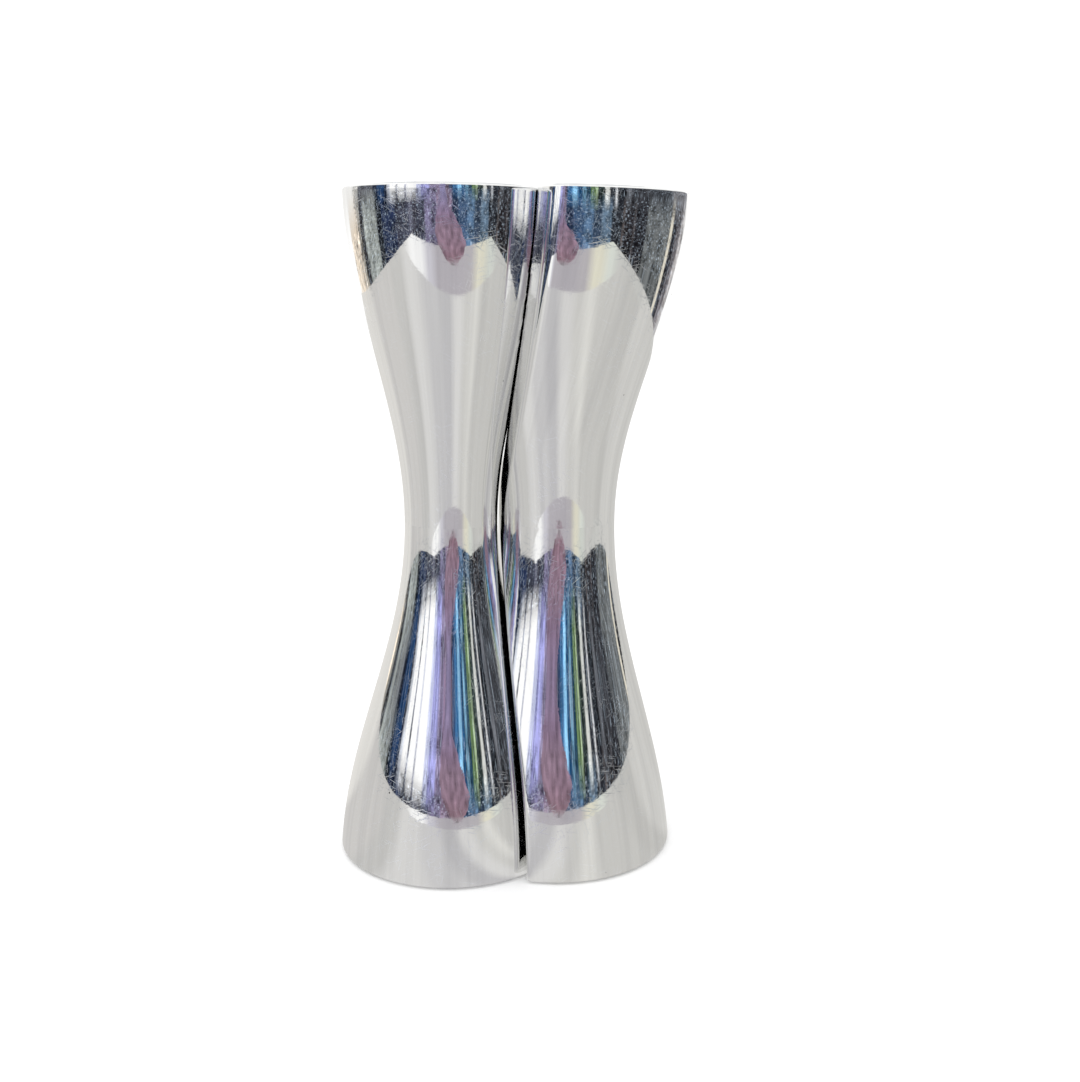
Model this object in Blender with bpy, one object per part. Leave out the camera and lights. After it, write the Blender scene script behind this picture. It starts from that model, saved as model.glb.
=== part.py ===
"""A nesting pair of double-ended bar jiggers in polished aluminium.

The round jigger is a plain hourglass turned about its own axis. The scooped jigger is a larger
hourglass whose flank is hollowed out along its whole height, so the round one nests into it.
Each jigger is two cups pressed together, waist to waist, on a hidden pin.

The pair stands on the rims of its lower cups. +Z is up, the line through the two axes is X, and the
origin is on the floor under the middle of the pair. Sizes are in millimetres until the meshes are made.
"""
import math

import bmesh
import bpy

MM = 0.001

# Both jiggers
HEIGHT = 120.0
WAIST_Z = 62.0
WALL = 1.4
AXIS_SPACING = 19.55
PAIR_MIDDLE = 11.175        # from the round jigger's axis to the middle of the pair
OUTER_EDGE = 0.55           # radius of the rim's outer edge
INNER_EDGE = 0.25
JOINT_GAP = 0.3             # between the two cups of one jigger
UPPER_FLOOR_Z = 72.0        # where the upper cup's wall turns into its floor
LOWER_FLOOR_Z = 50.5
FLOOR_DEPTH = 3.6           # how far the rounded floor sinks below the wall

# Hourglass profiles: radius at the waist and the two rims, and the share of a half cosine that each flare runs
ROUND_RADII = {"waist": 8.45, "top": 18.3, "bottom": 21.1}
ROUND_SWEEP = {"top": 0.97, "bottom": 0.93}
SCOOPED_RADII = {"waist": 10.75, "top": 23.9, "bottom": 22.4}
SCOOPED_SWEEP = {"top": 0.94, "bottom": 0.89}

# The upper scooped cup is oval: its near and far sides draw in towards the rim
SQUEEZE_TOP = 3.3           # at the rim
SQUEEZE_POWER = 1.25
SQUEEZE_SOFTNESS = 8.0

# The scoop
SCOOP_GAP_TOP = 0.35        # clearance to the round jigger, from the top rim down to the waist
SCOOP_GAP_BOTTOM = 1.2
LIP_TILT = math.radians(9)  # the two lips of the scoop are faced off at this angle to the pair's cross axis
LIP_REACH_WAIST = 10.75     # distance of the faced lips from the scooped jigger's axis
LIP_REACH_TOP = 8.4
LIP_REACH_BOTTOM = 12.8
LIP_REACH_POWER = 1.3
LIP_ROUND = 0.5             # radius of the upper lips' inner edges
SHOULDER = 1.0              # radius of the lips' outer edges, and of both edges below the waist
SHOULDER_TOP = 3.2
INNER_SHOULDER = 0.8

# The pin in each waist
PIN_RADIUS = 2.5
PIN_LENGTH = 8.4
PIN_CHAMFER = 0.5
PIN_CLEARANCE = 0.2
SOCKET_DEPTH = 4.6

# Mesh fineness
ROUND_SIDES = 44
LIP_STEPS = 10              # from the middle of the scoop to the lip
BACK_STEPS = 16             # from the lip to the far side
ARC_STEPS = 12
OVAL_STEPS = 48
WALL_ROWS = 10
EDGE_STEPS = 2
FLOOR_STEPS = 4


def blend(low, high, share):
    return low + (high - low) * share


def end_and_share(z):
    """Which flare a height is in, and how far it is from the waist to that rim, from 0 to 1."""
    if z >= WAIST_Z:
        return "top", (z - WAIST_Z) / (HEIGHT - WAIST_Z)
    return "bottom", (WAIST_Z - z) / WAIST_Z


def profile_radius(radii, sweep, z):
    end, share = end_and_share(z)
    flare = (1 - math.cos(sweep[end] * math.pi * share)) / (1 - math.cos(sweep[end] * math.pi))
    return blend(radii["waist"], radii[end], flare)


def arc(centre, radius, start, stop, steps=ARC_STEPS):
    """Points (u, v, angle) from start to stop, as angles about centre."""
    angles = [blend(start, stop, i / steps) for i in range(steps + 1)]
    return [(centre[0] + radius * math.cos(a), centre[1] + radius * math.sin(a), a) for a in angles]


def oval(radius, squeeze, rounding, start, stop, steps):
    """The section's outer curve as (u, v, outward angle): a squeezed disc, grown by the rounding."""
    points = []
    for i in range(steps + 1):
        turn = blend(start, stop, i / steps)
        u, v = squeezed(radius, squeeze, turn)
        slim = 1 - squeeze / SQUEEZE_SOFTNESS * (1 - math.tanh(radius * math.sin(turn) / SQUEEZE_SOFTNESS) ** 2)
        out = math.atan2(math.sin(turn), math.cos(turn) * slim)
        points.append((u + rounding * math.cos(out), v + rounding * math.sin(out), out))
    return points


def squeezed(radius, squeeze, turn):
    """A point of a disc whose near and far sides are moved in by squeeze."""
    v = radius * math.sin(turn)
    return (radius * math.cos(turn), v - squeeze * math.tanh(v / SQUEEZE_SOFTNESS))


def half_outline(radius, squeeze, bite, reach, shoulder, rounding):
    """One half of a scooped section, from the far side (angle pi) round to the middle of the scoop.

    u points from the section's centre to the round jigger and v across it. The section is an oval,
    less a disc of radius bite about the round jigger's axis, faced off at reach from its centre.
    The outer corner is rounded to the radius shoulder and the inner one to rounding.
    """
    disc = radius - shoulder
    hollow = bite + rounding
    face = reach - rounding

    def beyond(turn):
        u, v = squeezed(disc, squeeze, turn)
        faced = u * math.cos(LIP_TILT) + v * math.sin(LIP_TILT) > reach - shoulder
        return "face" if faced else "hollow" if math.hypot(AXIS_SPACING - u, v) < bite + shoulder else ""

    steps = 90
    found = next((i for i in range(steps + 1) if beyond(math.pi * (1 - i / steps))), None)
    if found is None:
        return oval(disc, squeeze, shoulder, math.pi, 0, OVAL_STEPS)
    kept, cut = math.pi * (1 - (found - 1) / steps), math.pi * (1 - found / steps)
    for _ in range(40):
        middle = (kept + cut) / 2
        kept, cut = (kept, middle) if beyond(middle) else (middle, cut)
    corner = last = squeezed(disc, squeeze, kept)
    points = oval(disc, squeeze, shoulder, math.pi, kept, OVAL_STEPS)
    turn = points[-1][2]
    if beyond(cut) == "hollow":
        rounding = shoulder
    else:
        shift = AXIS_SPACING * math.sin(LIP_TILT)
        rest = AXIS_SPACING ** 2 - 2 * AXIS_SPACING * face * math.cos(LIP_TILT) + face ** 2 - hollow ** 2
        along = -face * math.tan(LIP_TILT)
        if shift ** 2 > rest:
            along = max(along, math.sqrt(shift ** 2 - rest) - shift)
        last = (
            face * math.cos(LIP_TILT) - along * math.sin(LIP_TILT),
            face * math.sin(LIP_TILT) + along * math.cos(LIP_TILT),
        )
        points += arc(corner, shoulder, turn, LIP_TILT)
        turn = LIP_TILT
    if last[1] <= 1e-6:
        return points + arc(last, rounding, turn, 0)
    inward = math.atan2(-last[1], AXIS_SPACING - last[0])
    points += arc(last, rounding, turn, inward)
    points += arc((AXIS_SPACING, 0), bite, inward + math.pi, math.pi)
    return points


def resampled(points, steps, dense_end):
    """Points at steps + 1 places along a polyline, closer together towards its dense end."""
    lengths = [0.0]
    for a, b in zip(points, points[1:]):
        lengths.append(lengths[-1] + math.hypot(b[0] - a[0], b[1] - a[1]))
    found = []
    k = 0
    for i in range(steps + 1):
        share = i / steps
        place = share ** 1.5 if dense_end == "first" else 1 - (1 - share) ** 1.5
        target = place * lengths[-1]
        while k < len(points) - 2 and lengths[k + 1] < target:
            k += 1
        span = lengths[k + 1] - lengths[k]
        part = (target - lengths[k]) / span if span > 0 else 0.0
        found.append((blend(points[k][0], points[k + 1][0], part), blend(points[k][1], points[k + 1][1], part)))
    return found


def scooped_section(z, inset=0.0):
    """The scooped jigger's outline at a height, as (x, y) about its axis, moved inwards by inset."""
    end, share = end_and_share(z)
    radius = profile_radius(SCOOPED_RADII, SCOOPED_SWEEP, z) - inset
    gap = SCOOP_GAP_TOP if end == "top" else blend(SCOOP_GAP_TOP, SCOOP_GAP_BOTTOM, share)
    bite = profile_radius(ROUND_RADII, ROUND_SWEEP, z) + gap + inset
    squeeze = SQUEEZE_TOP * share ** SQUEEZE_POWER if end == "top" else 0.0
    reach = blend(LIP_REACH_WAIST, LIP_REACH_BOTTOM, share) - inset
    if end == "top":
        reach = blend(LIP_REACH_WAIST, LIP_REACH_TOP, share ** LIP_REACH_POWER) - inset
    shoulder = blend(SHOULDER, SHOULDER_TOP, share) if end == "top" else SHOULDER
    shoulder = max(shoulder - inset, INNER_SHOULDER)
    rounding = blend(shoulder, LIP_ROUND, min(share * 3, 1.0)) if end == "top" else shoulder
    outline = half_outline(radius, squeeze, bite, reach, shoulder, rounding)
    lip = next(i for i, point in enumerate(outline) if point[2] <= math.pi / 4)
    back = resampled(outline[: lip + 1], BACK_STEPS, "last")
    front = resampled(outline[lip:], LIP_STEPS, "first")
    half = back + front[1:]
    near = [(-u, -v) for u, v in half]
    far = [(-u, v) for u, v in reversed(half[1:-1])]
    return near + far


def round_section(z, inset=0.0):
    radius = profile_radius(ROUND_RADII, ROUND_SWEEP, z) - inset
    return [(x, y) for x, y, _ in arc((0, 0), radius, 0, -2 * math.pi, ROUND_SIDES)][:-1]


def shrunk(section, radius):
    """The section's points drawn in to a circle of this radius about its centre, each in its own direction."""
    return [(x * radius / math.hypot(x, y), y * radius / math.hypot(x, y)) for x, y in section]


def scaled(section, factor):
    middle = sum(x for x, _ in section) / len(section)
    return [(middle + (x - middle) * factor, y * factor) for x, y in section]


def cup_rows(section, rim_z, floor_z):
    """Every row of a cup's surface as (z, points): socket, foot, outside, rim, inside and floor."""
    up = 1 if rim_z > WAIST_Z else -1
    foot = WAIST_Z + up * JOINT_GAP / 2
    socket = shrunk(section(foot), PIN_RADIUS + PIN_CLEARANCE)
    rows = [(foot + up * SOCKET_DEPTH, socket), (foot, socket)]
    for i in range(WALL_ROWS + 1):
        z = blend(foot, rim_z - up * OUTER_EDGE, i / WALL_ROWS)
        rows.append((z, section(z)))
    for i in range(1, EDGE_STEPS + 1):
        turn = math.pi / 2 * i / EDGE_STEPS
        z = rim_z - up * OUTER_EDGE * (1 - math.sin(turn))
        rows.append((z, section(z, OUTER_EDGE * (1 - math.cos(turn)))))
    rows.append((rim_z, section(rim_z, WALL - INNER_EDGE)))
    for i in range(WALL_ROWS):
        z = blend(rim_z - up * INNER_EDGE, floor_z, i / (WALL_ROWS - 1))
        rows.append((z, section(z, WALL)))
    for i in range(1, FLOOR_STEPS):
        turn = math.pi / 2 * i / FLOOR_STEPS
        z = floor_z - up * FLOOR_DEPTH * math.sin(turn)
        rows.append((z, scaled(section(floor_z, WALL), math.cos(turn))))
    return rows


def mesh_from_rows(name, rows):
    """A closed mesh through rows of equally many points, its first and last rows closed flat."""
    bm = bmesh.new()
    loops = [[bm.verts.new((x * MM, y * MM, z * MM)) for x, y in points] for z, points in rows]
    count = len(loops[0])
    for low, high in zip(loops, loops[1:]):
        for i in range(count):
            j = (i + 1) % count
            bm.faces.new((low[i], low[j], high[j], high[i]))
    bm.faces.new(loops[0])
    bm.faces.new(reversed(loops[-1]))
    bmesh.ops.recalc_face_normals(bm, faces=bm.faces)
    mesh = bpy.data.meshes.new(name)
    bm.to_mesh(mesh)
    bm.free()
    mesh.shade_smooth()
    mesh.set_sharp_from_angle(angle=math.radians(35))
    return mesh


def material(name, color, roughness):
    made = bpy.data.materials.new(name)
    made.use_nodes = True
    shader = made.node_tree.nodes["Principled BSDF"]
    shader.inputs["Base Color"].default_value = (*color, 1)
    shader.inputs["Roughness"].default_value = roughness
    shader.inputs["Metallic"].default_value = 1.0
    return made


def add(name, mesh, parent, finish):
    made = bpy.data.objects.new(name, mesh)
    bpy.context.collection.objects.link(made)
    made.parent = parent
    mesh.materials.append(finish)
    return made


def axis_empty(name, x):
    made = bpy.data.objects.new(name, None)
    bpy.context.collection.objects.link(made)
    made.location.x = x * MM
    return made


def pin_mesh(name):
    ends = PIN_LENGTH / 2
    outline = [
        (-ends, PIN_RADIUS - PIN_CHAMFER),
        (-ends + PIN_CHAMFER, PIN_RADIUS),
        (ends - PIN_CHAMFER, PIN_RADIUS),
        (ends, PIN_RADIUS - PIN_CHAMFER),
    ]
    rows = [(WAIST_Z + z, [p[:2] for p in arc((0, 0), r, 0, -2 * math.pi, 32)][:-1]) for z, r in outline]
    return mesh_from_rows(name, rows)


def build_jigger(prefix, axis_x, section, finish, pin_finish):
    axis = axis_empty(prefix + "_axis", axis_x)
    upper = mesh_from_rows(prefix + "_upper_cup", cup_rows(section, HEIGHT, UPPER_FLOOR_Z))
    lower = mesh_from_rows(prefix + "_lower_cup", cup_rows(section, 0.0, LOWER_FLOOR_Z))
    add(prefix + "_upper_cup", upper, axis, finish)
    add(prefix + "_lower_cup", lower, axis, finish)
    add(prefix + "_joining_pin", pin_mesh(prefix + "_joining_pin"), axis, pin_finish)


for leftover in list(bpy.data.objects):
    bpy.data.objects.remove(leftover)

polished = material("polished_aluminium", (0.86, 0.86, 0.85), 0.08)
turned = material("turned_steel", (0.56, 0.57, 0.58), 0.35)
build_jigger("round", -PAIR_MIDDLE, round_section, polished, turned)
build_jigger("scooped", AXIS_SPACING - PAIR_MIDDLE, scooped_section, polished, turned)
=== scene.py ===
"""The looks of the nesting pair of bar jiggers: fine polished cups, a pale floor, soft light and a camera.

The line through the jiggers' two axes is X, and the pair is the same on both sides of Y = 0. Sizes are in
millimetres until the meshes are made.
"""
import math

import bmesh
import bpy
from mathutils import Euler, Matrix, Vector, noise


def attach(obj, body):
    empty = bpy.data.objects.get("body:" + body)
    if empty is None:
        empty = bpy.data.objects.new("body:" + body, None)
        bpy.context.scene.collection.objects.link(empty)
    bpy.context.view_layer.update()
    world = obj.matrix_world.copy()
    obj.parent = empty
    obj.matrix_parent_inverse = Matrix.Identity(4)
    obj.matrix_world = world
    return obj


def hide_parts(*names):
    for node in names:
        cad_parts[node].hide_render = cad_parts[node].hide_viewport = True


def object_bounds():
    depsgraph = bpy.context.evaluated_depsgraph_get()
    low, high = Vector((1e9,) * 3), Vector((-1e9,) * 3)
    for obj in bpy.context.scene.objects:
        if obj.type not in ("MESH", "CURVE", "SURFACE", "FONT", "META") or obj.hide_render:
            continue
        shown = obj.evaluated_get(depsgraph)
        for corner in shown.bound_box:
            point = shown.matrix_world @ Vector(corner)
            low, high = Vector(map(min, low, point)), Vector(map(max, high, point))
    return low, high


MM = 0.001

# Both jiggers, as the solids have them
WAIST_Z = 62.0
WALL = 1.4
AXIS_SPACING = 19.55
PAIR_MIDDLE = 11.175
OUTER_EDGE = 0.55
INNER_EDGE = 0.25
UPPER_FLOOR_Z = 72.0
LOWER_FLOOR_Z = 50.5
FLOOR_DEPTH = 3.6
ROUND_RADII = {"waist": 8.45, "top": 18.3, "bottom": 21.1}
ROUND_SWEEP = {"top": 0.97, "bottom": 0.93}
SCOOPED_RADII = {"waist": 10.75, "top": 23.9, "bottom": 22.4}
SCOOPED_SWEEP = {"top": 0.94, "bottom": 0.89}
SQUEEZE_TOP = 3.3
SQUEEZE_POWER = 1.25
SQUEEZE_SOFTNESS = 8.0
SCOOP_GAP_TOP = 0.35
SCOOP_GAP_BOTTOM = 1.2
LIP_TILT = math.radians(9)
LIP_REACH_WAIST = 10.75
LIP_REACH_TOP = 8.4
LIP_REACH_BOTTOM = 12.8
LIP_REACH_POWER = 1.3
SHOULDER = 1.0
SHOULDER_TOP = 3.2
INNER_SHOULDER = 0.8
SOCKET_RADIUS = 2.7
SOCKET_DEPTH = 4.6

# Finer than in the solids: the seam above the waist, and the rounding of the scoop's inner lips there.
# Both come in gradually, over these shares of the way from the waist to the rim.
VISIBLE_SEAM = 0.14
SEAM_COMES_IN = 1 / 4
LIP_ROUND = 0.3
LIP_ROUND_COMES_IN = 1 / 3

# Mesh fineness
ROUND_SIDES = 192
LIP_STEPS = 44
BACK_STEPS = 60
ARC_STEPS = 24
OVAL_STEPS = 192
CORNER_STEPS = 90
CORNER_HALVINGS = 40
WALL_ROWS = 96
INNER_ROWS = 48
EDGE_STEPS = 6
FLOOR_STEPS = 12
SHARP_ANGLE = math.radians(35)
UV_UNIT = 100.0

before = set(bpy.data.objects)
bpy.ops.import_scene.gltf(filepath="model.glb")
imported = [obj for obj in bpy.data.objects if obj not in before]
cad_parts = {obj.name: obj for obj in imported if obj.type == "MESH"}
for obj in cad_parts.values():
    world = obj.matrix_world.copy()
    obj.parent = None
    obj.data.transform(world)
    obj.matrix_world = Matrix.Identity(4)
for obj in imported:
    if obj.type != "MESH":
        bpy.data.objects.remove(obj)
cad_low, cad_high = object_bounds()
HEIGHT = (cad_high.z - cad_low.z) / MM


def blend(low, high, share):
    return low + (high - low) * share


# --- The shape of the cups --------------------------------------------------------------------------------


def end_and_share(z):
    """Which flare a height is in, and how far it is from the waist to that rim, from 0 to 1."""
    if z >= WAIST_Z:
        return "top", (z - WAIST_Z) / (HEIGHT - WAIST_Z)
    return "bottom", (WAIST_Z - z) / WAIST_Z


def profile_radius(radii, sweep, z):
    end, share = end_and_share(z)
    flare = (1 - math.cos(sweep[end] * math.pi * share)) / (1 - math.cos(sweep[end] * math.pi))
    return blend(radii["waist"], radii[end], flare)


def arc(centre, radius, start, stop, steps=ARC_STEPS):
    """Points (u, v, angle) from start to stop, as angles about centre."""
    angles = [blend(start, stop, i / steps) for i in range(steps + 1)]
    return [(centre[0] + radius * math.cos(a), centre[1] + radius * math.sin(a), a) for a in angles]


def oval(radius, squeeze, rounding, start, stop, steps):
    """The section's outer curve as (u, v, outward angle): a squeezed disc, grown by the rounding."""
    points = []
    for i in range(steps + 1):
        turn = blend(start, stop, i / steps)
        u, v = squeezed(radius, squeeze, turn)
        bend = math.tanh(radius * math.sin(turn) / SQUEEZE_SOFTNESS)
        slim = 1 - squeeze / SQUEEZE_SOFTNESS * (1 - bend ** 2)
        out = math.atan2(math.sin(turn), math.cos(turn) * slim)
        points.append((u + rounding * math.cos(out), v + rounding * math.sin(out), out))
    return points


def squeezed(radius, squeeze, turn):
    """A point of a disc whose near and far sides are moved in by squeeze."""
    v = radius * math.sin(turn)
    return (radius * math.cos(turn), v - squeeze * math.tanh(v / SQUEEZE_SOFTNESS))


def half_outline(radius, squeeze, bite, reach, shoulder, rounding):
    """One half of a scooped section, from the far side (angle pi) round to the middle of the scoop.

    u points from the section's centre to the round jigger and v across it. The section is an oval,
    less a disc of radius bite about the round jigger's axis, faced off at reach from its centre.
    The outer corner is rounded to the radius shoulder and the inner one to rounding.
    """
    disc = radius - shoulder
    hollow = bite + rounding
    face = reach - rounding

    def beyond(turn):
        u, v = squeezed(disc, squeeze, turn)
        faced = u * math.cos(LIP_TILT) + v * math.sin(LIP_TILT) > reach - shoulder
        if faced:
            return "face"
        return "hollow" if math.hypot(AXIS_SPACING - u, v) < bite + shoulder else ""

    steps = CORNER_STEPS
    found = next((i for i in range(steps + 1) if beyond(math.pi * (1 - i / steps))), None)
    if found is None:
        return oval(disc, squeeze, shoulder, math.pi, 0, OVAL_STEPS)
    kept, cut = math.pi * (1 - (found - 1) / steps), math.pi * (1 - found / steps)
    for _ in range(CORNER_HALVINGS):
        middle = (kept + cut) / 2
        kept, cut = (kept, middle) if beyond(middle) else (middle, cut)
    corner = last = squeezed(disc, squeeze, kept)
    points = oval(disc, squeeze, shoulder, math.pi, kept, OVAL_STEPS)
    turn = points[-1][2]
    if beyond(cut) == "hollow":
        rounding = shoulder
    else:
        shift = AXIS_SPACING * math.sin(LIP_TILT)
        rest = AXIS_SPACING ** 2 - 2 * AXIS_SPACING * face * math.cos(LIP_TILT) + face ** 2 - hollow ** 2
        along = -face * math.tan(LIP_TILT)
        if shift ** 2 > rest:
            along = max(along, math.sqrt(shift ** 2 - rest) - shift)
        last = (
            face * math.cos(LIP_TILT) - along * math.sin(LIP_TILT),
            face * math.sin(LIP_TILT) + along * math.cos(LIP_TILT),
        )
        points += arc(corner, shoulder, turn, LIP_TILT)
        turn = LIP_TILT
    if last[1] <= 1e-6:
        return points + arc(last, rounding, turn, 0)
    inward = math.atan2(-last[1], AXIS_SPACING - last[0])
    points += arc(last, rounding, turn, inward)
    points += arc((AXIS_SPACING, 0), bite, inward + math.pi, math.pi, 4 * ARC_STEPS)
    return points


def resampled(points, steps, dense_end):
    """Points at steps + 1 places along a polyline, closer together towards its dense end."""
    lengths = [0.0]
    for a, b in zip(points, points[1:]):
        lengths.append(lengths[-1] + math.hypot(b[0] - a[0], b[1] - a[1]))
    found = []
    k = 0
    for i in range(steps + 1):
        share = i / steps
        place = share ** 1.5 if dense_end == "first" else 1 - (1 - share) ** 1.5
        target = place * lengths[-1]
        while k < len(points) - 2 and lengths[k + 1] < target:
            k += 1
        span = lengths[k + 1] - lengths[k]
        part = (target - lengths[k]) / span if span > 0 else 0.0
        low, high = points[k], points[k + 1]
        found.append((blend(low[0], high[0], part), blend(low[1], high[1], part)))
    return found


def scooped_section(z, inset=0.0):
    """The scooped jigger's outline at a height, as (x, y) about its axis, moved inwards by inset."""
    end, share = end_and_share(z)
    radius = profile_radius(SCOOPED_RADII, SCOOPED_SWEEP, z) - inset
    gap = blend(SCOOP_GAP_TOP, VISIBLE_SEAM, min(share / SEAM_COMES_IN, 1.0))
    if end == "bottom":
        gap = blend(SCOOP_GAP_TOP, SCOOP_GAP_BOTTOM, share)
    bite = profile_radius(ROUND_RADII, ROUND_SWEEP, z) + gap + inset
    squeeze = SQUEEZE_TOP * share ** SQUEEZE_POWER if end == "top" else 0.0
    reach = blend(LIP_REACH_WAIST, LIP_REACH_BOTTOM, share) - inset
    if end == "top":
        reach = blend(LIP_REACH_WAIST, LIP_REACH_TOP, share ** LIP_REACH_POWER) - inset
    shoulder = blend(SHOULDER, SHOULDER_TOP, share) if end == "top" else SHOULDER
    shoulder = max(shoulder - inset, INNER_SHOULDER)
    rounding = shoulder
    if end == "top":
        rounding = blend(shoulder, LIP_ROUND, min(share / LIP_ROUND_COMES_IN, 1.0))
    outline = half_outline(radius, squeeze, bite, reach, shoulder, rounding)
    lip = next(i for i, point in enumerate(outline) if point[2] <= math.pi / 4)
    back = resampled(outline[: lip + 1], BACK_STEPS, "last")
    front = resampled(outline[lip:], LIP_STEPS, "first")
    half = back + front[1:]
    near = [(-u, -v) for u, v in half]
    far = [(-u, v) for u, v in reversed(half[1:-1])]
    return near + far


def round_section(z, inset=0.0):
    radius = profile_radius(ROUND_RADII, ROUND_SWEEP, z) - inset
    return [(x, y) for x, y, _ in arc((0, 0), radius, 0, -2 * math.pi, ROUND_SIDES)][:-1]


def shrunk(section, radius):
    """The section's points, each moved straight towards its centre onto a circle of this radius."""
    return [(x * radius / math.hypot(x, y), y * radius / math.hypot(x, y)) for x, y in section]


def scaled(section, factor):
    middle = sum(x for x, _ in section) / len(section)
    return [(middle + (x - middle) * factor, y * factor) for x, y in section]


def cup_rows(section, rim_z, floor_z):
    """Every row of a cup's surface as (z, points, inside): socket, foot, outside, rim, inside and floor."""
    up = 1 if rim_z > WAIST_Z else -1
    socket = shrunk(section(WAIST_Z), SOCKET_RADIUS)
    rows = [(WAIST_Z + up * SOCKET_DEPTH, socket, False), (WAIST_Z, socket, False)]
    edge_z = rim_z - up * OUTER_EDGE
    heights = [WAIST_Z, WAIST_Z + up * 0.08]
    heights += [blend(WAIST_Z, edge_z, i / WALL_ROWS) for i in range(1, WALL_ROWS + 1)]
    rows += [(z, section(z), False) for z in heights]
    for i in range(1, EDGE_STEPS + 1):
        turn = math.pi / 2 * i / EDGE_STEPS
        z = rim_z - up * OUTER_EDGE * (1 - math.sin(turn))
        rows.append((z, section(z, OUTER_EDGE * (1 - math.cos(turn))), False))
    for i in range(EDGE_STEPS + 1):
        turn = math.pi / 2 * i / EDGE_STEPS
        z = rim_z - up * INNER_EDGE * (1 - math.cos(turn))
        rows.append((z, section(z, WALL - INNER_EDGE * (1 - math.sin(turn))), i == EDGE_STEPS))
    for i in range(1, INNER_ROWS):
        z = blend(rim_z - up * INNER_EDGE, floor_z, i / (INNER_ROWS - 1))
        rows.append((z, section(z, WALL), True))
    for i in range(1, FLOOR_STEPS):
        turn = math.pi / 2 * i / FLOOR_STEPS
        z = floor_z - up * FLOOR_DEPTH * math.sin(turn)
        rows.append((z, scaled(section(floor_z, WALL), math.cos(turn)), True))
    return rows


def cup_mesh(name, rows, axis_x, finishes):
    """A closed mesh through rows of equally many points.

    finishes are the outside's and the inside's materials. The UVs run round the cup and up it, in units
    of UV_UNIT, so that scratches keep their size.
    """
    bm = bmesh.new()
    loops = [[bm.verts.new(((x + axis_x) * MM, y * MM, z * MM)) for x, y in points] for z, points, _ in rows]
    count = len(loops[0])
    spans = [0.0]
    widest = max(rows, key=lambda row: max(abs(y) for _, y in row[1]))[1]
    for a, b in zip(widest, widest[1:] + widest[:1]):
        spans.append(spans[-1] + math.hypot(b[0] - a[0], b[1] - a[1]))
    heights = [0.0]
    for low, high in zip(rows, rows[1:]):
        step = math.hypot(high[0] - low[0], high[1][0][0] - low[1][0][0])
        heights.append(heights[-1] + step)
    layer = bm.loops.layers.uv.new("round_and_up")
    for k in range(len(loops) - 1):
        low, high = loops[k], loops[k + 1]
        for i in range(count):
            j = (i + 1) % count
            face = bm.faces.new((low[i], low[j], high[j], high[i]))
            face.material_index = 1 if rows[k][2] else 0
            corners = ((i, k), (i + 1, k), (i + 1, k + 1), (i, k + 1))
            for loop, (column, row) in zip(face.loops, corners):
                loop[layer].uv = (spans[column] / UV_UNIT, heights[row] / UV_UNIT)
    bm.faces.new(loops[0])
    floor = bm.faces.new(reversed(loops[-1]))
    floor.material_index = 1
    bmesh.ops.recalc_face_normals(bm, faces=bm.faces)
    mesh = bpy.data.meshes.new(name)
    bm.to_mesh(mesh)
    bm.free()
    for finish in finishes:
        mesh.materials.append(finish)
    mesh.shade_smooth()
    mesh.set_sharp_from_angle(angle=SHARP_ANGLE)
    return mesh


def add_cup(prefix, part, section, rim_z, floor_z, axis_x, finishes):
    node = prefix + "_" + part + "_cup"
    name = node + "_polished"
    rows = cup_rows(section, rim_z, floor_z)
    piece = bpy.data.objects.new(name, cup_mesh(name, rows, axis_x, finishes))
    bpy.context.scene.collection.objects.link(piece)
    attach(piece, prefix + "_jigger")
    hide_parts(node)


# --- Materials --------------------------------------------------------------------------------------------


# Each set of scratches: direction in degrees, how many per 100 mm along and across, and how rare they are
SCRATCHES = (
    (12, 26, 460, 0.665), (-34, 32, 560, 0.67), (71, 28, 500, 0.67), (104, 36, 640, 0.67),
    (157, 22, 420, 0.67),
)
# Heights and depths of the marks, in metres
SCRATCH_DEPTH = 0.0000012
POLISHED_RIPPLE = 0.0000022
POLISHED_LINES = 0.0000002
SATIN_RIPPLE = 0.000003
SATIN_LINES = 0.000003
TURNING_GROOVES = 0.00001
# How much rougher the metal is along a scratch and in a pit
SCRATCH_DULLS = 0.25
PIT_DULLS = 0.3

PIT_COLOR = (0.09, 0.085, 0.08, 1)
# The colour of the painted reflection bands: darker upright bands mixed into the metal's colour, standing in
# for the vertical smears in its reflections
PAINTED_STREAK_COLOR = (0.62, 0.62, 0.63, 1)


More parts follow.
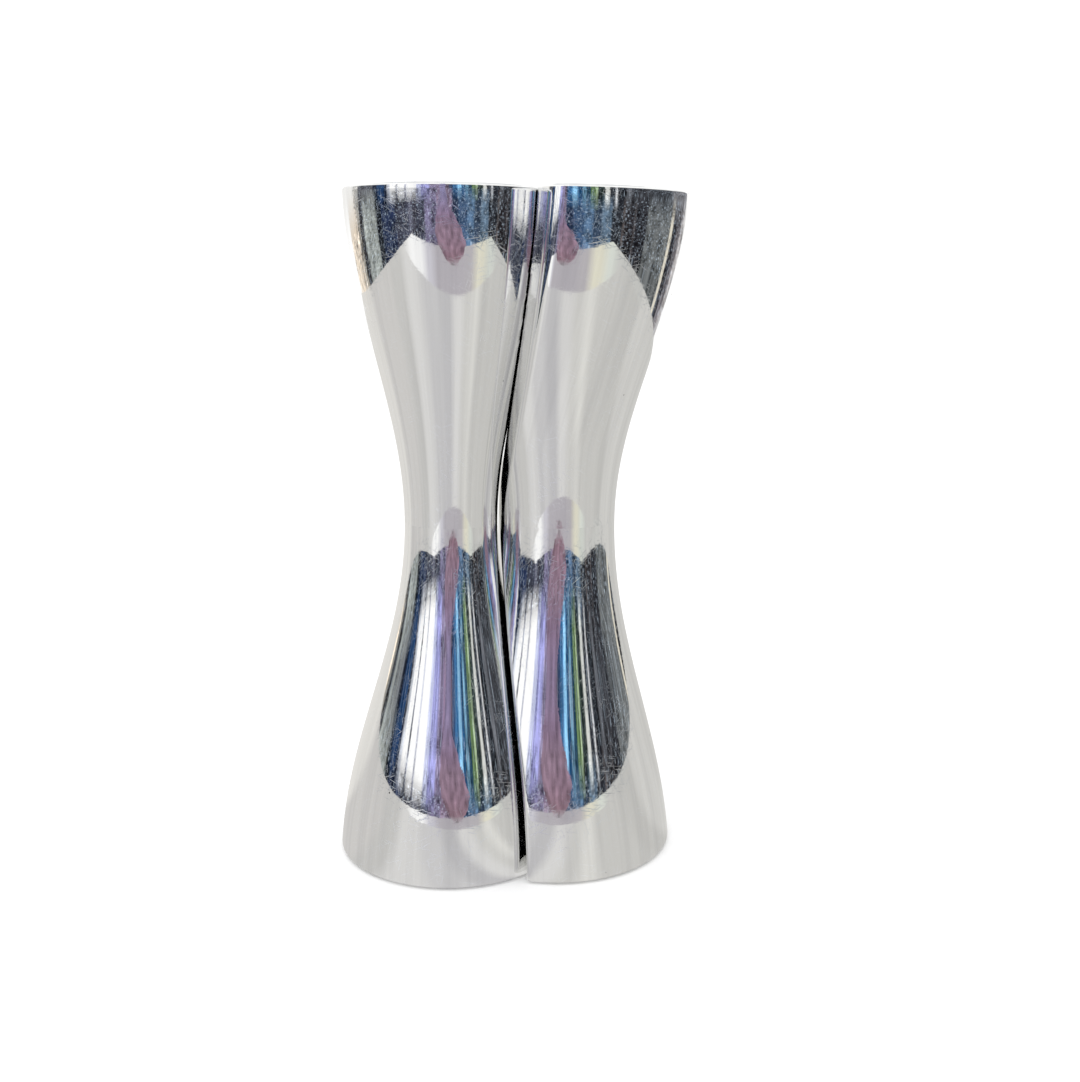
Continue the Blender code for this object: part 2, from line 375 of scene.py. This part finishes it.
class Graph:
    """A new metal material, and the nodes that its marks are made of.

    node gives the node it adds, and uneven, stretched, ramp, mix, math and bump give their node's output.
    """

    def __init__(self, name):
        self.material = bpy.data.materials.new(name)
        self.material.use_nodes = True
        self.tree = self.material.node_tree
        self.shader = self.tree.nodes["Principled BSDF"]
        self.shader.inputs["Metallic"].default_value = 1.0

    def node(self, kind, values=(), **settings):
        new = self.tree.nodes.new("ShaderNode" + kind)
        for key, value in settings.items():
            setattr(new, key, value)
        for key, value in dict(values).items():
            if isinstance(value, bpy.types.NodeSocket):
                self.tree.links.new(value, new.inputs[key])
            else:
                new.inputs[key].default_value = value
        return new

    def uneven(self, place, detail, scale=1.0, **more):
        """Noise over a place."""
        values = {"Vector": place, "Scale": scale, "Detail": detail, **more}
        return self.node("TexNoise", values).outputs["Fac"]

    def stretched(self, place, scale):
        return self.node("Mapping", {"Vector": place, "Scale": scale}).outputs["Vector"]

    def ramp(self, value, low=0.0, high=1.0, first=0.0, last=1.0):
        """A value that goes from first to last while the given one goes from low to high."""
        values = {"Value": value, "From Min": low, "From Max": high, "To Min": first, "To Max": last}
        return self.node("MapRange", values).outputs["Result"]

    def mix(self, share, color, other):
        return self.node("Mix", {0: share, 6: color, 7: other}, data_type="RGBA").outputs[2]

    def math(self, operation, *values, **settings):
        numbered = dict(enumerate(values))
        return self.node("Math", numbered, operation=operation, **settings).outputs[0]

    def bump(self, distance, height, normal=None, **settings):
        values = {"Strength": 1.0, "Distance": distance, "Height": height}
        if normal is not None:
            values["Normal"] = normal
        return self.node("Bump", values, **settings).outputs["Normal"]

    def finished(self, color, roughness, normal):
        """The material, with these outputs linked to its shader."""
        for key, value in (("Base Color", color), ("Roughness", roughness), ("Normal", normal)):
            self.tree.links.new(value, self.shader.inputs[key])
        return self.material


def metal(name, color, worn_color, roughness, ripple, lines, scratches):
    """Aluminium with its marks: ripples, lines, scratches, pits and smears, and upright bands of painted
    reflection in its colour.

    ripple and lines are heights in metres. The lines run round the piece. scratches go from 0 to 1.
    """
    graph = Graph(name)
    place = graph.node("UVMap", uv_map="round_and_up").outputs["UV"]
    marks = None
    for turn, along, across, rare in SCRATCHES:
        turned = {"Vector": place, "Rotation": (0, 0, math.radians(turn))}
        turned = graph.node("Mapping", turned).outputs["Vector"]
        drawn = graph.uneven(graph.stretched(turned, (along, across, 1)), 1.0, Distortion=0.3)
        one = graph.ramp(drawn, rare, rare + 0.05)
        marks = one if marks is None else graph.math("MAXIMUM", marks, one)
    patchy = graph.ramp(graph.uneven(place, 3.0, scale=7.0), 0.38, 0.62, first=0.25)
    marks = graph.math("MULTIPLY", marks, patchy)
    marks = graph.math("MULTIPLY", marks, scratches, use_clamp=True)

    cells = {"Vector": place, "Scale": 17.0, "Randomness": 1.0}
    cells = graph.node("TexVoronoi", cells).outputs["Distance"]
    pits = graph.ramp(cells, 0.035, 0.02)
    smears = graph.ramp(graph.uneven(place, 6.0, scale=14.0, Roughness=0.6), 0.45, 0.75)
    # Painted reflection: upright bands of darker colour, standing in for the vertical smears of light and
    # dark in the polished metal's reflections
    painted_streaks = graph.uneven(graph.stretched(place, (34, 0.9, 1)), 4.0, Roughness=0.6)
    painted_streaks = graph.ramp(painted_streaks, 0.42, 0.68, last=0.4)

    worn = graph.mix(marks, (*color, 1), (*worn_color, 1))
    with_painted_streaks = graph.mix(painted_streaks, worn, PAINTED_STREAK_COLOR)
    pitted = graph.mix(pits, with_painted_streaks, PIT_COLOR)

    rough = graph.ramp(smears, first=roughness, last=roughness * 1.8 + 0.02)
    rough = graph.math("MULTIPLY_ADD", marks, SCRATCH_DULLS, rough)
    rough = graph.math("MULTIPLY_ADD", pits, PIT_DULLS, rough)

    waves = graph.uneven(graph.stretched(place, (42, 95, 1)), 2.0)
    rings = graph.uneven(graph.stretched(place, (3, 620, 1)), 2.0)
    rippled = graph.bump(ripple, waves)
    lined = graph.bump(lines, rings, rippled)
    scratched = graph.bump(SCRATCH_DEPTH, marks, lined, invert=True)
    return graph.finished(pitted, rough, scratched)


def turned_steel():
    """The pins' finish: fine turning rings round their length, with a little dulling."""
    graph = Graph("turned_steel")
    place = graph.node("TexCoord").outputs["Object"]
    rings = graph.uneven(graph.stretched(place, (300, 300, 9000)), 3.0)
    dull = graph.uneven(place, 4.0, scale=700.0)
    color = graph.mix(dull, (0.62, 0.62, 0.62, 1), (0.46, 0.47, 0.49, 1))
    rough = graph.ramp(rings, 0.3, 0.7, first=0.25, last=0.42)
    return graph.finished(color, rough, graph.bump(TURNING_GROOVES, rings))


polished = metal(
    "polished_aluminium", (0.87, 0.87, 0.86), (0.93, 0.95, 0.98),
    roughness=0.02, ripple=POLISHED_RIPPLE, lines=POLISHED_LINES, scratches=1.0,
)
satin = metal(
    "satin_inside", (0.82, 0.82, 0.81), (0.86, 0.86, 0.86),
    roughness=0.16, ripple=SATIN_RIPPLE, lines=SATIN_LINES, scratches=0.6,
)
steel = turned_steel()
for pin in ("round_joining_pin", "scooped_joining_pin"):
    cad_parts[pin].data.materials.clear()
    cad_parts[pin].data.materials.append(steel)

# --- The pieces -------------------------------------------------------------------------------------------

round_x = -PAIR_MIDDLE
scooped_x = AXIS_SPACING - PAIR_MIDDLE
add_cup("round", "upper", round_section, HEIGHT, UPPER_FLOOR_Z, round_x, (polished, satin))
add_cup("round", "lower", round_section, 0.0, LOWER_FLOOR_Z, round_x, (polished, satin))
add_cup("scooped", "upper", scooped_section, HEIGHT, UPPER_FLOOR_Z, scooped_x, (polished, satin))
add_cup("scooped", "lower", scooped_section, 0.0, LOWER_FLOOR_Z, scooped_x, (polished, satin))

# --- What the polished metal mirrors ----------------------------------------------------------------------

# Colours are as seen in the metal, 0 to 255; over 255 is more than white. Angles are in degrees round the
# pair: 0 is towards the front (-Y), 90 is +X.
METAL_REFLECTANCE = 0.88
WHITE = (262, 262, 262)

# The room's colours low down, mirrored by the upper cups, and higher up, mirrored by the lower cups. Each
# band starts at its angle and runs to the next one.
ROOM_LOW = (
    (-180, WHITE), (-146, (226, 212, 194)), (-125, (140, 135, 126)), (-120, (50, 49, 50)),
    (-113, (152, 157, 154)), (-91, (20, 22, 28)), (-84, (34, 44, 70)), (-66, (60, 62, 76)),
    (-50, (84, 84, 98)), (-42, (60, 62, 76)), (-33, (112, 106, 134)), (-20, (134, 116, 138)),
    (-4, (34, 46, 70)), (3, (58, 80, 110)), (12, (82, 108, 138)), (20, (50, 64, 84)),
    (27, (90, 110, 130)), (36, (40, 42, 48)), (46, (86, 80, 80)), (48, (36, 33, 36)),
    (57, (78, 74, 76)), (59, (30, 29, 33)), (71, (100, 103, 104)), (102, (232, 226, 210)),
    (106, (44, 44, 50)), (113, (112, 108, 112)), (121, (176, 172, 172)), (129, WHITE), (180, WHITE),
)
ROOM_HIGH = (
    (-180, (240, 239, 237)), (-130, (196, 194, 190)), (-119, (84, 84, 90)), (-94, (24, 32, 54)),
    (-88, (30, 62, 104)), (-78, (22, 30, 52)), (-75, (200, 204, 214)), (-71, WHITE),
    (-64, (128, 132, 150)), (-62, WHITE), (-54, (170, 172, 188)), (-52, WHITE), (-41, (196, 200, 232)),
    (-36, (150, 150, 204)), (-27, (140, 128, 160)), (-20, (122, 104, 128)), (-13, (92, 76, 92)),
    (-7, (40, 58, 90)), (-3, (52, 100, 146)), (2, (132, 184, 220)), (6, (38, 84, 128)),
    (10, (120, 166, 196)), (13, (32, 58, 78)), (17, (88, 112, 72)), (21, (176, 198, 160)),
    (23, (36, 46, 42)), (29, (214, 216, 212)), (33, (34, 34, 40)), (38, (222, 224, 228)),
    (40, (20, 20, 26)), (48, (96, 98, 104)), (53, (60, 61, 66)), (73, (64, 67, 73)),
    (100, (118, 118, 122)), (126, WHITE), (180, WHITE),
)
ROOM_SOFTNESS = 1.2
ROOM_RADIUS = 1500.0
ROOM_HEIGHTS = [-600, *range(-260, 120, 6), *range(120, 660, 20), 760, 900, 1500]
# Between which heights the low colours turn into the high ones, and those into white
ROOM_TURNS_HIGH = (20, 170)
ROOM_TURNS_WHITE = (440, 740)
# Colours darker than this get the clutter's detail and its bright flecks
CLUTTER_BELOW = 0.75
FLECK_COLOR = Vector((0.6, 0.72, 0.86))
FLECK_RARITY = 0.22
FLECK_STRENGTH = 1.6
AROUND_STEPS = 1440

# The pale sheet under the jiggers: its colours inside the line y = -SHEET_EDGE and beyond it, its corners
# as (x, y), and how high its rim is lifted, starting at this share of the way out
SHEET_NEAR = (
    (-180, (222, 220, 216)), (-120, (203, 201, 199)), (-80, (197, 196, 194)), (-62, (214, 213, 212)),
    (-42, (201, 200, 201)), (-22, (190, 189, 191)), (-6, (214, 213, 212)), (8, (205, 204, 201)),
    (20, (218, 217, 213)), (30, (198, 197, 194)), (62, (194, 193, 190)), (80, (206, 205, 202)),
    (110, (200, 199, 196)), (180, (222, 220, 216)),
)
# Beyond the line, the darker grey-mauve from -26 to 21 degrees is a painted shadow on the sheet, cast from
# the front
SHEET_FAR = (
    (-180, (222, 220, 216)), (-120, (203, 201, 199)), (-80, (199, 198, 196)), (-62, (216, 215, 214)),
    (-54, (250, 250, 250)), (-36, (204, 202, 210)), (-26, (178, 174, 180)), (10, (182, 178, 182)),
    (21, (222, 219, 202)), (34, (212, 216, 209)), (44, (198, 198, 195)), (80, (206, 205, 202)),
    (110, (200, 199, 196)), (180, (222, 220, 216)),
)
SHEET_EDGE = 232.0
SHEET_CORNERS = ((-375, 620), (-395, -350), (314, -388), (314, 620))
SHEET_LIFT = 11.0
SHEET_LIFT_FROM = 0.72
SHEET_SOFTNESS = 8
# Places of the sheet's rows: 0 is the middle, 1 the line and 2 the rim
SHEET_PLACES = (0.0, 0.4, 0.8, 0.985, 1.015, 1.2, 1.4, 1.7, 2.0)
SHEET_DROP = 0.2

# The mauve card in front: from its point upwards, each height with the angles of its left and right edges
# there and its colour
NEAR_CARD = (
    # The grey lowest row is painted shade around the card's point, just above the sheet
    (5, -6, 0, (172, 166, 172)), (15, -13, 4, (136, 110, 122)), (35, -20, 10, (140, 116, 132)),
    (60, -24, 4, (144, 122, 140)), (76, -22, -4, (134, 114, 138)), (95, -19, -10, (134, 122, 152)),
    (112, -18, -12, (138, 132, 168)), (280, -17, -13, (146, 142, 178)),
)
NEAR_CARD_RADIUS = 300
NEAR_CARD_ROW = 5
NEAR_CARD_STEPS = 80
NEAR_CARD_RAGGED = 2.5

# The ceiling, a dome of pale rings that starts at this many degrees over the floor
DOME_RADIUS = 2120
DOME_STARTS = 44


def seen(color):
    """Emission that looks like this colour in the metal."""
    linear = []
    for value in color:
        v = value / 255
        linear.append((v / 12.92 if v <= 0.04045 else ((v + 0.055) / 1.055) ** 2.4) / METAL_REFLECTANCE)
    return Vector(linear)


def tone(bands, angle, softness):
    """The colour at an angle, with each band's start softened over a few degrees."""
    mixed = seen(bands[0][1])
    for start, color in bands[1:]:
        share = min(max((angle - start) / softness + 0.5, 0.0), 1.0)
        mixed = mixed.lerp(seen(color), share)
    return mixed


def glow(name):
    """An emission material that reads the mesh's own colours."""
    made = bpy.data.materials.new(name)
    made.use_nodes = True
    nodes, links = made.node_tree.nodes, made.node_tree.links
    nodes.clear()
    out = nodes.new("ShaderNodeOutputMaterial")
    emission = nodes.new("ShaderNodeEmission")
    color = nodes.new("ShaderNodeAttribute")
    color.attribute_name = "tone"
    links.new(color.outputs["Color"], emission.inputs["Color"])
    links.new(emission.outputs[0], out.inputs["Surface"])
    return made


def add_card(name, rows):
    """A sheet through rows of (point, colour), seen only in reflections."""
    bm = bmesh.new()
    layer = bm.verts.layers.float_color.new("tone")
    grid = []
    for row in rows:
        line = []
        for point, color in row:
            vert = bm.verts.new(tuple(c * MM for c in point))
            vert[layer] = (*color, 1.0)
            line.append(vert)
        grid.append(line)
    for low, high in zip(grid, grid[1:]):
        for a, b, c, d in zip(low, low[1:], high[1:], high):
            bm.faces.new((a, b, c, d))
    mesh = bpy.data.meshes.new(name)
    bm.to_mesh(mesh)
    bm.free()
    mesh.materials.append(glow(name))
    card = bpy.data.objects.new(name, mesh)
    bpy.context.scene.collection.objects.link(card)
    card.visible_camera = False
    card.visible_diffuse = False
    card.visible_shadow = False


def on_ring(angle, radius, z):
    turn = math.radians(angle)
    return (radius * math.sin(turn), -radius * math.cos(turn), z)


def mottled(color, angle, z):
    """A room colour with uneven fine detail and small bright flecks, as clutter seen in metal has."""
    across, up, small = (0.3, 1 / 8, 1 / 6) if z < 120 else (0.8, 1 / 40, 1 / 30)
    fine = noise.noise(Vector((angle * across, z * up, 3.0)))
    fine += 0.5 * noise.noise(Vector((angle * 2.6, z / 50, 9.0)))
    broad = noise.noise(Vector((angle * 0.15, z / 70, 5.0)))
    fleck = noise.noise(Vector((angle * across * 1.6, z * small, 17.0)))
    shaded = color * max(0.25, 1 + fine + 0.9 * broad)
    return shaded + FLECK_COLOR * max(0.0, fleck - FLECK_RARITY) * FLECK_STRENGTH


def angles_around():
    return [-180 + 360 * i / AROUND_STEPS for i in range(AROUND_STEPS + 1)]


def share_between(z, limits):
    return min(max((z - limits[0]) / (limits[1] - limits[0]), 0.0), 1.0)


def room_rows():
    angles = angles_around()
    low = [tone(ROOM_LOW, angle, ROOM_SOFTNESS) for angle in angles]
    high = [tone(ROOM_HIGH, angle, ROOM_SOFTNESS) for angle in angles]
    rows = []
    for z in ROOM_HEIGHTS:
        share = share_between(z, ROOM_TURNS_HIGH)
        white = share_between(z, ROOM_TURNS_WHITE)
        row = []
        for i, angle in enumerate(angles):
            color = low[i].lerp(high[i], share)
            if color[1] < CLUTTER_BELOW:
                color = mottled(color, angle, z)
            row.append((on_ring(angle, ROOM_RADIUS, z), color.lerp(seen(WHITE), white)))
        rows.append(row)
    return rows


def sheet_reach(angle):
    """How far the sheet runs from the origin at an angle."""
    turn = math.radians(angle)
    ray = Vector((math.sin(turn), -math.cos(turn)))
    reach = 0.0
    for a, b in zip(SHEET_CORNERS, SHEET_CORNERS[1:] + SHEET_CORNERS[:1]):
        side = Vector(b) - Vector(a)
        span = ray.x * side.y - ray.y * side.x
        if abs(span) > 1e-9:
            out = (a[0] * side.y - a[1] * side.x) / span
            along = (a[0] * ray.y - a[1] * ray.x) / span
            if out > 0 and -1e-6 <= along <= 1 + 1e-6:
                reach = max(reach, out)
    return reach


def sheet_rows():
    """Rows from the middle of the sheet out to its line, and from there to its lifted rim.

    To the sides and behind, where the line is too far off, the rows turn at a place inside the rim.
    """
    rows = []
    for share in SHEET_PLACES:
        row = []
        for angle in angles_around():
            reach = sheet_reach(angle)
            line = min(SHEET_EDGE / max(math.cos(math.radians(angle)), 0.3), 0.9 * reach)
            out = line * share if share <= 1 else blend(line, reach, share - 1)
            lift = SHEET_LIFT * max(out / reach - SHEET_LIFT_FROM, 0.0) / (1 - SHEET_LIFT_FROM)
            bands = SHEET_NEAR if share < 1 else SHEET_FAR
            row.append((on_ring(angle, out, lift - SHEET_DROP), tone(bands, angle, SHEET_SOFTNESS)))
        rows.append(row)
    return rows


def near_card_rows():
    """A soft mauve card close in front, its point just above the sheet and its edges ragged."""
    rows = []
    half = NEAR_CARD_STEPS // 2
    for z in range(NEAR_CARD[0][0], NEAR_CARD[-1][0] + 1, NEAR_CARD_ROW):
        low, high = next(pair for pair in zip(NEAR_CARD, NEAR_CARD[1:]) if z <= pair[1][0])
        share = (z - low[0]) / (high[0] - low[0])
        left, right = blend(low[1], high[1], share), blend(low[2], high[2], share)
        color = seen(low[3]).lerp(seen(high[3]), share)
        row = []
        for i in range(NEAR_CARD_STEPS + 1):
            ragged = noise.noise(Vector((z / 14, 4.0 if i < half else 8.0, 2.0)))
            angle = blend(left, right, i / NEAR_CARD_STEPS)
            angle += NEAR_CARD_RAGGED * ragged * abs(i - half) / half
            light = 1 + 0.7 * noise.noise(Vector((angle / 4, z / 11, 1.0)))
            light += 0.35 * noise.noise(Vector((angle, z / 4, 6.0)))
            row.append((on_ring(angle, NEAR_CARD_RADIUS, z), color * light))
        rows.append(row)
    return rows


def dome_rows():
    white = seen((250, 250, 250))
    grey = seen((216, 218, 222))
    rows = []
    for rise in range(DOME_STARTS, 91, 3):
        turn = math.radians(rise)
        color = grey.lerp(white, abs(math.sin(6 * turn)))
        radius, z = DOME_RADIUS * math.cos(turn), DOME_RADIUS * math.sin(turn)
        rows.append([(on_ring(5 * i, radius, z), color) for i in range(73)])
    return rows


add_card("room_in_reflections", room_rows())
add_card("sheet_in_reflections", sheet_rows())
add_card("ceiling_in_reflections", dome_rows())
add_card("near_card_in_reflections", near_card_rows())

# --- Floor and light --------------------------------------------------------------------------------------

FLOOR_DROP = 0.0004    # the floor's distance under the jiggers, in metres

bm = bmesh.new()
bmesh.ops.create_grid(bm, x_segments=8, y_segments=8, size=6.0)
floor_mesh = bpy.data.meshes.new("floor")
bm.to_mesh(floor_mesh)
bm.free()
floor = bpy.data.objects.new("floor", floor_mesh)
floor.location.z = -FLOOR_DROP
floor.visible_glossy = False
bpy.context.scene.collection.objects.link(floor)
pale = bpy.data.materials.new("pale_floor")
pale.use_nodes = True
pale_shader = pale.node_tree.nodes["Principled BSDF"]
pale_shader.inputs["Base Color"].default_value = (0.92, 0.92, 0.92, 1)
pale_shader.inputs["Roughness"].default_value = 0.9
floor_mesh.materials.append(pale)

world = bpy.data.worlds.new("studio")
world.use_nodes = True
world.node_tree.nodes["Background"].inputs["Color"].default_value = (1, 1, 1, 1)
world.node_tree.nodes["Background"].inputs["Strength"].default_value = 1.25
bpy.context.scene.world = world

lamp = bpy.data.objects.new("soft_lamp", bpy.data.lights.new("soft_lamp", "AREA"))
lamp.data.size = 1.2
lamp.data.energy = 4.0
lamp.location = (-0.4, -0.5, 1.1)
lamp.rotation_euler = (math.radians(-30), math.radians(-20), 0)
lamp.visible_glossy = False
bpy.context.scene.collection.objects.link(lamp)

bpy.context.scene.view_settings.view_transform = "Standard"

# --- Camera -----------------------------------------------------------------------------------------------

CAMERA_PLACE = (-0.035045, -0.21596, 0.1043)
CAMERA_TILT = math.radians(78.0)
CAMERA_TURN = math.radians(-10.59)
CAMERA_ROLL = math.radians(0.534)

camera = bpy.data.objects.new("camera", bpy.data.cameras.new("camera"))
bpy.context.scene.collection.objects.link(camera)
camera.data.sensor_fit = "HORIZONTAL"
camera.data.sensor_width = 36.0
camera.data.lens = 40.37
camera.data.clip_start = 0.01
look = Euler((CAMERA_TILT, 0, CAMERA_TURN)).to_matrix() @ Matrix.Rotation(CAMERA_ROLL, 3, "Z")
camera.matrix_world = Matrix.Translation(CAMERA_PLACE) @ look.to_4x4()
bpy.context.scene.camera = camera
